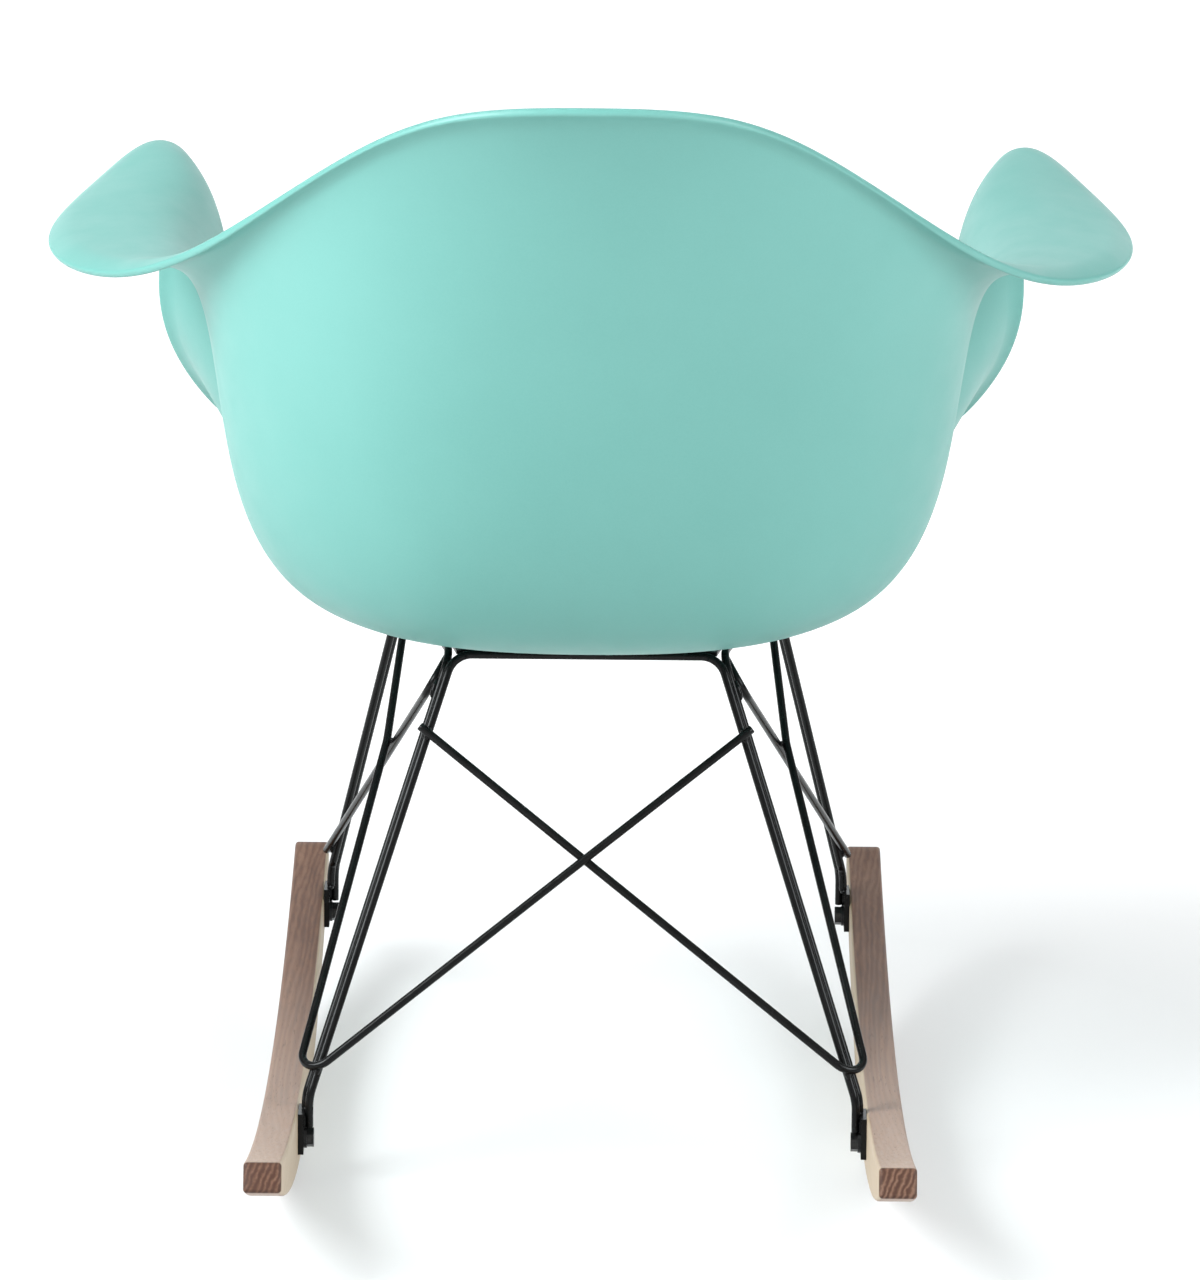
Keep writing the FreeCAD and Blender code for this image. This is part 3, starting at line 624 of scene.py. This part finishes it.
# %% [markdown]
# Two more rods stiffen each side.  The diagonal starts low on the outside of the front leg
# and climbs to the top of the rear leg.  The brace starts at the top of the front leg,
# drops back past the diagonal, makes a tight U round the rear leg and climbs across the
# back of the chair to the other rear leg.  Welded rods touch side by side: the point one
# rod away from a rod, square to both, is the common perpendicular of their directions.

# %% Diagonals and braces
DIAGONAL_LOW, DIAGONAL_HIGH = 96, 270             # heights of the welds on the legs, in mm
BRACE_LOW, BRACE_FAR, BRACE_HIGH = 66, 247, 277
CROSSING = 0.665                                  # where the brace passes, along the diagonal


def along(end, z):
    """The point of a leg's middle line at a height in millimetres."""
    corner, turn = leg_corner[end], leg_turn[end]
    return turn + (corner - turn) * ((z * MM - turn[2]) / (corner[2] - turn[2]))


def beside(point, one, other, way):
    """The point one rod away, square to two directions, on the side that way points to."""
    square = unit(np.cross(one, other))
    if square @ np.asarray(way, float) < 0:
        square = -square
    return point + square * (ROD + CLEAR)


low_front = along("front", DIAGONAL_LOW) + step["front"]
high_rear = along("rear", DIAGONAL_HIGH) + step["rear"]
run = unit(high_rear - low_front)
low_front = beside(low_front, lean["front"], run, (1, 0, 0))
high_rear = beside(high_rear, lean["rear"], run, (0.4, -1, 0))
run = unit(high_rear - low_front)
tail = leg_corner["rear"] + np.array([0.6, -3.2, -1.1]) * ROD
diagonal = np.array([low_front - run * 9 * MM, high_rear, tail])
make_rod("left_diagonal", diagonal, [0.012], (1, 0, 0))
make_rod("right_diagonal", mirrored(diagonal), [0.012], (1, 0, 0))

low_rear = along("rear", BRACE_LOW) - step["rear"]
far_rear = mirrored(along("rear", BRACE_FAR) - step["rear"])
climb = unit(far_rear - low_rear)
far_lean = mirrored(lean["rear"])
low_rear = beside(low_rear, lean["rear"], climb, (0, 1, 0)) + np.array([0, 0.42 * ROD, 0])
far_rear = beside(far_rear, far_lean, climb, (0, 1, 0))
climb = unit(far_rear - low_rear)
bend = low_rear - climb * 18 * MM
on_diagonal = low_front + (high_rear - low_front) * CROSSING
cross = beside(on_diagonal, run, bend - on_diagonal, (1, 0, 0))
high_front = along("front", BRACE_HIGH) + step["front"]
high_front = beside(high_front, lean["front"], high_front - cross, (-1, 0.5, 0))
share = low_rear[0] / (low_rear[0] - far_rear[0])
apart = unit(np.cross(climb, mirrored(climb))) * (ROD / 2 + 2 * CLEAR)
for side, turn in (("left", 1), ("right", -1)):
    halfway = low_rear + (far_rear - low_rear) * share + apart * turn
    brace = np.array([high_front, cross, bend, halfway, far_rear + climb * 6 * MM])
    square = np.cross(bend - cross, climb)
    if turn < 0:
        brace, square = mirrored(brace), mirrored(square)
    make_rod(side + "_brace", brace, [0.030, 0.011, 0.900], square)

# %% [markdown]
# ## Weld beads
#
# A weld leaves a small ripple-backed lump where two rods touch.  Each bead is a stretched
# ball: a latitude and a longitude give a direction, and the radius is changed a little by a
# wave along the bead, which makes the ripples of the weld pool.

# %% Beads where rods meet
def bead(centre, way, length, width, ripples=5):
    """A ball stretched along a direction, with its girth rippled by a cosine along its length."""
    way = unit(way)
    side = unit(np.cross(way, (0.31, 0.52, 0.79)))
    up = np.cross(way, side)
    across = np.linspace(0.02, math.pi - 0.02, 26)[:, None, None]
    around = np.linspace(0, 2 * math.pi, 18, endpoint=False)[None, :, None]
    girth = np.sin(across) * (1 + 0.07 * np.cos(2 * ripples * across)) * width / 2
    ball = (-np.cos(across) * way * length / 2
            + girth * (np.cos(around) * side + np.sin(around) * up))
    return centre + ball


beads = []
for flip in (1.0, -1.0):
    mirror = np.array([flip, 1.0, 1.0])

    def add(point, way, length=9.0, width=3.6):
        """One bead on this side of the chair, its length and width in millimetres."""
        beads.append(bead(np.asarray(point) * mirror, np.asarray(way) * mirror,
                          length * MM, width * MM))

    front_rod = along("front", DIAGONAL_LOW) + step["front"]
    rear_rod = along("rear", DIAGONAL_HIGH) + step["rear"]
    add((front_rod + low_front) / 2, lean["front"], 11)
    add((rear_rod + high_rear) / 2, lean["rear"], 12)
    add((on_diagonal + cross) / 2, run)
    top_rod = along("front", BRACE_HIGH - 3) + step["front"]
    add((top_rod + high_front + (cross - high_front) * 0.02) / 2, lean["front"], 11)
    leg_low = along("rear", BRACE_LOW) - step["rear"]
    add((leg_low + low_rear) / 2, lean["rear"])
    leg_far = along("rear", BRACE_FAR) - step["rear"]
    add((leg_far + mirrored(far_rear)) / 2, lean["rear"])
    for end in ("front", "rear"):
        for height in (60, 110, 170, 235, 280):
            add(along(end, height), lean[end], 14, 2.9)
    for end in ("front", "rear"):
        foot_x, foot_y = leg_turn[end][:2]
        step_x, step_y = step[end][:2]
        bracket_x = bracket_boxes[end][0][0]
        join = np.array([bracket_x - 0.1 * MM, foot_y, bracket_top[end] - 6 * MM])
        add(join - (0, step_y, 0), (0, 0, 1), 12, 3.4)
        add((foot_x + step_x, foot_y + step_y, bracket_top[end]), (0, 1, 0), 7, 3.8)
beads.append(bead(low_rear + (far_rear - low_rear) * share, climb, 8 * MM, 3.4 * MM))
welds = make_piece("weld_beads", beads, rod_finish)

# %% [markdown]
# ## The rockers
#
# Each rocker is sawn from a walnut plank to two arcs: the running curve below and a
# flatter one above, closer together at the ends.  Then all its edges are rounded over.  A
# Bevel modifier on a box could round it; here a rounded rectangle is carried from end to
# end, its height following the two arcs, and it shrinks over the last two millimetres so
# the end faces have the same soft edge.

# %% Two walnut rockers
HALF_LENGTH, RUN_RADIUS = 343 * MM, 967 * MM
MIDDLE_HEIGHT, END_HEIGHT, WIDE, EASE = 39 * MM, 17 * MM, 21 * MM, 2.2 * MM
TRACK_HALF = 0.173
lift = math.asin(HALF_LENGTH / RUN_RADIUS)
tip = RUN_RADIUS - END_HEIGHT
chord, rise = tip * math.sin(lift), RUN_RADIUS - tip * math.cos(lift) - MIDDLE_HEIGHT
UPPER_RADIUS = (chord ** 2 + rise ** 2) / (2 * rise)
print("upper curve radius", round(UPPER_RADIUS, 3))


def rounded_rectangle(steps=8):
    """Points round a rectangle whose corners are quarter circles: the corner that each point
    belongs to, as two signs, and the point's direction from the centre of that quarter."""
    angles = (np.arange(4)[:, None] * math.pi / 2
              + np.linspace(0, math.pi / 2, steps)[None, :]).ravel()
    corner = np.repeat(np.array([(1, 1), (-1, 1), (-1, -1), (1, -1)], float), steps, axis=0)
    return corner, np.stack([np.cos(angles), np.sin(angles)], -1)


def rocker(middle_x):
    """Cross-sections on planes that turn with the rocker: at each station a point on the
    running curve and one on the upper curve are the section's foot and head."""
    stations = np.linspace(-1, 1, 221)
    foot = np.stack([RUN_RADIUS * np.sin(lift * stations),
                     RUN_RADIUS - RUN_RADIUS * np.cos(lift * stations)], -1)
    head_y = chord * stations
    head_z = MIDDLE_HEIGHT + UPPER_RADIUS - np.sqrt(UPPER_RADIUS ** 2 - head_y ** 2)
    head = np.stack([head_y, head_z], -1)
    turn = np.linspace(0, math.pi / 2, 7)[1:]
    inset = EASE * (1 - np.cos(turn))
    push = EASE * (1 - np.sin(turn))
    corner, arc = rounded_rectangle()
    rows = []
    for end in (0, -1):
        along_rocker = unit(np.append(0, foot[end] - foot[1 if end == 0 else -2]))
        tall = unit(np.append(0, head[end] - foot[end]))
        height = np.linalg.norm(head[end] - foot[end])
        centre = np.append(middle_x, (foot[end] + head[end]) / 2)
        order = slice(None, None, -1) if end == 0 else slice(None)
        for small, back in list(zip(inset, push))[order]:
            ease = EASE - small
            side = corner[:, 0] * (WIDE / 2 - EASE) + arc[:, 0] * ease
            up = corner[:, 1] * (height / 2 - EASE) + arc[:, 1] * ease
            rows.append(centre - along_rocker * back + side[:, None] * np.array([1.0, 0, 0])
                        + up[:, None] * tall)
    rows = np.array(rows)
    first, last = rows[:len(turn)], rows[len(turn):]
    inner = slice(2, -2)
    tall = head[inner] - foot[inner]
    height = np.linalg.norm(tall, axis=1)[:, None]
    tall = tall / height
    centre = (head[inner] + foot[inner]) / 2
    side = middle_x + corner[:, 0] * (WIDE / 2 - EASE) + arc[:, 0] * EASE
    up = corner[:, 1] * (height / 2 - EASE) + arc[:, 1] * EASE
    body = np.stack([np.broadcast_to(side, up.shape),
                     centre[:, :1] + up * tall[:, :1],
                     centre[:, 1:] + up * tall[:, 1:]], -1)
    return np.concatenate([first, body, last])


for side, middle_x in (("left", TRACK_HALF), ("right", -TRACK_HALF)):
    wood = make_piece(side + "_rocker_wood", [rocker(middle_x)], rocker_finish)
    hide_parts(side + "_rocker")

# %% [markdown]
# ## Bosses under the seat
#
# Four round bosses are moulded under the seat for the screws.  Each is a profile turned
# round an upright axis: a nearly flat foot, a softened edge and a straight side with a
# little draft, which runs up into the shell.

# %% Four moulded bosses
def turned(profile, centre, steps=48):
    """A profile of radii and heights turned round an upright axis through a centre."""
    angle = np.linspace(0, 2 * math.pi, steps, endpoint=False)
    profile = np.asarray(profile, float)
    x = centre[0] + profile[:, :1] * np.cos(angle)
    y = centre[1] + profile[:, :1] * np.sin(angle)
    z = np.broadcast_to(profile[:, 1:], x.shape)
    return np.stack([x, y, z], -1)


bosses = []
for end in ("front", "rear"):
    for side in ("left", "right"):
        low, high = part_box("seat_insert_" + end + "_" + side)
        centre = ((low[0] + high[0]) / 2, (low[1] + high[1]) / 2)
        near = np.abs(middle[..., 0] - centre[0]) + np.abs(middle[..., 1] - centre[1])
        wall_z = middle[..., 2].ravel()[near.argmin()]
        foot = low[2]
        profile = [(4.1 * MM, foot + 0.2 * MM), (10.5 * MM, foot), (11.6 * MM, foot + 0.4 * MM),
                   (12.0 * MM, foot + 1.2 * MM), (11.8 * MM, wall_z)]
        bosses.append(turned(profile, centre))
boss = make_piece("seat_bosses", bosses, shell_finish)

# %% [markdown]
# ## Floor and light
#
# The floor is pale and glows a little, more so further out, which keeps it near white.  Two
# soft lamps stand beside the chair and behind it, the left one twice as strong; a weak one
# stands near the camera, and a wide one far in front of the chair.  A sun 70 degrees wide
# shines from overhead.  Big lamps give soft shadows and long highlights along the rods.

# %% Floor, surroundings and lamps
bpy.ops.mesh.primitive_plane_add(size=60)
floor = bpy.context.object
floor.name = "studio_floor"
floor_finish = Finish("studio_floor_paint", Roughness=0.9, Specular_IOR_Level=0.1)
floor_tone = floor_finish.noise(0.6, 2.0)
floor_colours = [(0.3, (0.50, 0.50, 0.50)), (0.7, (0.52, 0.52, 0.52))]
floor_finish.set("Base Color", floor_finish.ramp(floor_tone, floor_colours))
floor_finish.shader.inputs["Emission Color"].default_value = (1.0, 1.0, 1.0, 1.0)
far = floor_finish.nodes.new("ShaderNodeVectorMath")
far.operation = "LENGTH"
floor_finish.links.new(floor_finish.place, far.inputs[0])
glow = floor_finish.spread(far.outputs["Value"], 0.45, 1.2, 0.34, 0.72)
floor_finish.set("Emission Strength", glow)
floor.data.materials.append(floor_finish.material)

world = bpy.data.worlds.new("studio_air")
world.use_nodes = True
world.node_tree.nodes["Background"].inputs["Color"].default_value = (1.0, 1.0, 1.0, 1.0)
world.node_tree.nodes["Background"].inputs["Strength"].default_value = 0.25
bpy.context.scene.world = world


def lamp(name, place, target, width, height, power):
    """A rectangular soft lamp at a place, turned so that it shines at a target."""
    data = bpy.data.lights.new(name, "AREA")
    data.shape = "RECTANGLE"
    data.size, data.size_y = width, height
    data.energy = power
    data.color = (0.93, 0.98, 1.0)
    thing = bpy.data.objects.new(name, data)
    thing.location = place
    thing.rotation_euler = (Vector(target) - Vector(place)).to_track_quat("-Z", "Y").to_euler()
    bpy.context.scene.collection.objects.link(thing)
    return thing


lamp("left_softbox", (2.05, 1.15, 1.9), (0.1, 0.1, 0.45), 1.6, 1.4, 134)
lamp("right_softbox", (-2.2, 1.3, 1.6), (-0.1, 0.1, 0.45), 1.6, 1.4, 66)
lamp("front_fill", (0.3, 4.9, 1.9), (0.0, 0.0, 0.4), 3.0, 2.0, 16)
lamp("backdrop", (0.0, -5.5, 1.9), (0.0, 0.0, 0.5), 8.0, 3.4, 110)
sky_data = bpy.data.lights.new("overhead_sky", "SUN")
sky_data.energy = 0.6
sky_data.angle = math.radians(70)
sky = bpy.data.objects.new("overhead_sky", sky_data)
sky.rotation_euler = (math.radians(12), 0, 0)
bpy.context.scene.collection.objects.link(sky)
bpy.context.scene.view_settings.view_transform = "Standard"
print("lamps set")
